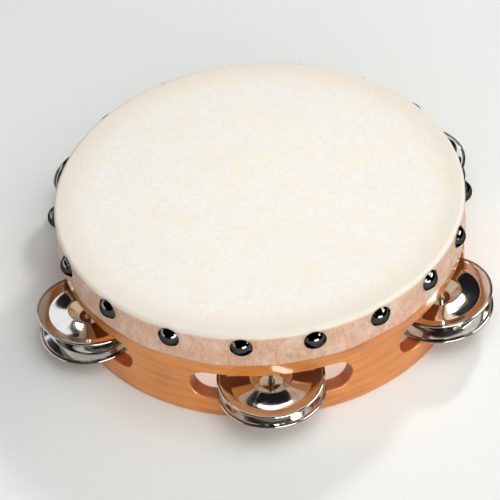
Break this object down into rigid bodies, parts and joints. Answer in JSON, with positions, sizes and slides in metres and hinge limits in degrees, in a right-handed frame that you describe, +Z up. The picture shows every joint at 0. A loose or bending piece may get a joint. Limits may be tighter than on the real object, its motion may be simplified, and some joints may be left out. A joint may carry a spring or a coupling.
{
  "type": "tambourine",
  "caption": "Hand tambourine with a bent wooden hoop, a natural skin head held by dome tacks, and pairs of loose metal jingles sliding on nails in slots round the hoop.",
  "frame": {"origin": "centre of the hoop's open lower edge, which the tambourine stands on", "axes": "+Z up, out through the skin head; -Y towards the front slot"},
  "size_m": [0.2249, 0.2476, 0.056],
  "materials": {
    "hoop_wood": "clear gloss lacquer over a warm honey-brown bent hardwood",
    "skin": "natural rawhide, smooth and slightly waxy, translucent at its fold",
    "tack_metal": "polished nickel plate",
    "jingle_metal": "polished nickel-plated sheet steel",
    "nail_steel": "plain drawn steel"
  },
  "bodies": {
    "hoop": {"hoop": "hoop_wood", "head_skin": "skin", "head_tacks": "tack_metal", "jingle_nail_1": "nail_steel", "jingle_nail_2": "nail_steel", "jingle_nail_3": "nail_steel", "jingle_nail_4": "nail_steel", "jingle_nail_5": "nail_steel", "jingle_nail_6": "nail_steel"},
    "jingle_1_lower": {"jingle_1_lower": "jingle_metal"},
    "jingle_1_upper": {"jingle_1_upper": "jingle_metal"},
    "jingle_2_lower": {"jingle_2_lower": "jingle_metal"},
    "jingle_2_upper": {"jingle_2_upper": "jingle_metal"},
    "jingle_3_lower": {"jingle_3_lower": "jingle_metal"},
    "jingle_3_upper": {"jingle_3_upper": "jingle_metal"},
    "jingle_4_lower": {"jingle_4_lower": "jingle_metal"},
    "jingle_4_upper": {"jingle_4_upper": "jingle_metal"},
    "jingle_5_lower": {"jingle_5_lower": "jingle_metal"},
    "jingle_5_upper": {"jingle_5_upper": "jingle_metal"},
    "jingle_6_lower": {"jingle_6_lower": "jingle_metal"},
    "jingle_6_upper": {"jingle_6_upper": "jingle_metal"}
  },
  "joints": [
    {"name": "jingle_1_lower_slide", "type": "slide", "parent": "hoop", "child": "jingle_1_lower", "axis": [0, 0, 1], "range_m": [0, 0.0009]},
    {"name": "jingle_1_upper_slide", "type": "slide", "parent": "jingle_1_lower", "child": "jingle_1_upper", "axis": [0, 0, 1], "range_m": [0, 0.0009]},
    {"name": "jingle_2_lower_slide", "type": "slide", "parent": "hoop", "child": "jingle_2_lower", "axis": [0, 0, 1], "range_m": [0, 0.0019]},
    {"name": "jingle_2_upper_slide", "type": "slide", "parent": "jingle_2_lower", "child": "jingle_2_upper", "axis": [0, 0, 1], "range_m": [0, 0.0019]},
    {"name": "jingle_3_lower_slide", "type": "slide", "parent": "hoop", "child": "jingle_3_lower", "axis": [0, 0, 1], "range_m": [0, 0.002]},
    {"name": "jingle_3_upper_slide", "type": "slide", "parent": "jingle_3_lower", "child": "jingle_3_upper", "axis": [0, 0, 1], "range_m": [0, 0.002]},
    {"name": "jingle_4_lower_slide", "type": "slide", "parent": "hoop", "child": "jingle_4_lower", "axis": [0, 0, 1], "range_m": [0, 0.0017]},
    {"name": "jingle_4_upper_slide", "type": "slide", "parent": "jingle_4_lower", "child": "jingle_4_upper", "axis": [0, 0, 1], "range_m": [0, 0.0017]},
    {"name": "jingle_5_lower_slide", "type": "slide", "parent": "hoop", "child": "jingle_5_lower", "axis": [0, 0, 1], "range_m": [0, 0.0019]},
    {"name": "jingle_5_upper_slide", "type": "slide", "parent": "jingle_5_lower", "child": "jingle_5_upper", "axis": [0, 0, 1], "range_m": [0, 0.0019]},
    {"name": "jingle_6_lower_slide", "type": "slide", "parent": "hoop", "child": "jingle_6_lower", "axis": [0, 0, 1], "range_m": [0, 0.0017]},
    {"name": "jingle_6_upper_slide", "type": "slide", "parent": "jingle_6_lower", "child": "jingle_6_upper", "axis": [0, 0, 1], "range_m": [0, 0.0017]}
  ]
}
